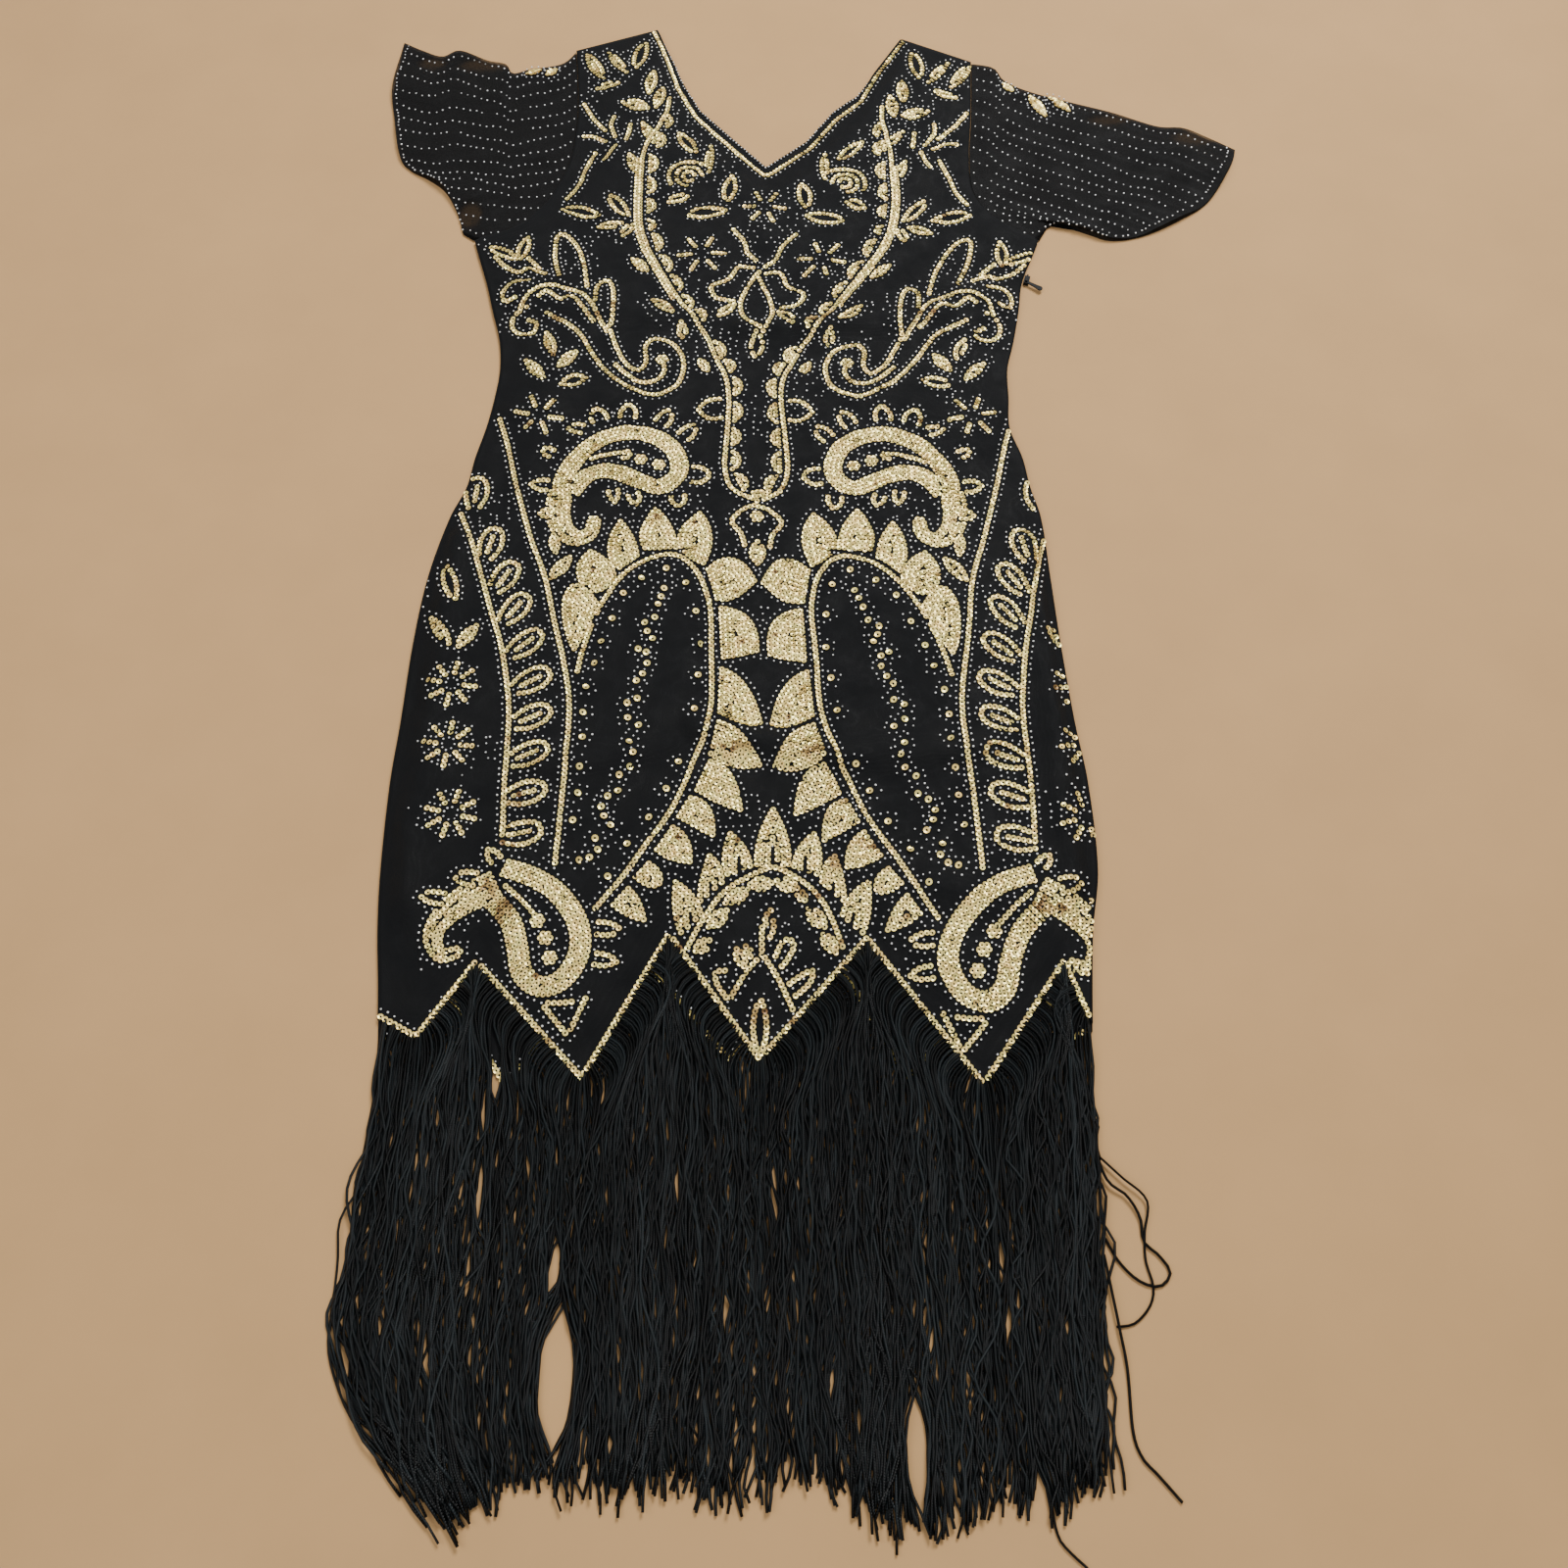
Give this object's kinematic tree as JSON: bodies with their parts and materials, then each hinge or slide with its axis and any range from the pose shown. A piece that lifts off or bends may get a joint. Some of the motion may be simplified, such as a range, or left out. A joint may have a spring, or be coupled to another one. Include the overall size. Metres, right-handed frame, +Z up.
{
  "type": "flapper dress",
  "caption": "Knee-length V-neck flapper dress laid flat, with sheer beaded flutter sleeves, zigzag hem and long cord fringe.",
  "frame": {"origin": "on the floor under the middle of the laid dress's bounding box", "axes": "+Z up out of the floor, +Y from hem to neck, +X to the wearer's left, which is on the right seen from above"},
  "size_m": [0.7368, 1.2508, 0.0122],
  "materials": {
    "beaded_net": "black net over a black lining",
    "sheer_net": "sheer black net",
    "fringe_cord": "twisted rayon cord with a soft sheen",
    "zip_metal": "black lacquer",
    "gold_sequin": "pale gold foil, glossy",
    "seed_bead": "silver-lined clear bead"
  },
  "bodies": {
    "dress": {"front_panel": "beaded_net", "back_panel": "beaded_net", "sleeve_left": "sheer_net", "sleeve_right": "sheer_net", "fringe_front": "fringe_cord", "fringe_back": "fringe_cord", "zip_slider": "zip_metal"},
    "zip_pull": {"zip_pull": "zip_metal"}
  },
  "joints": [
    {"name": "zip_pull_swing", "type": "hinge", "parent": "dress", "child": "zip_pull", "pos_m": [0.17684, 0.3204, 0.0032], "axis": [0, 0, 1], "range_deg": [-50, 85]}
  ]
}
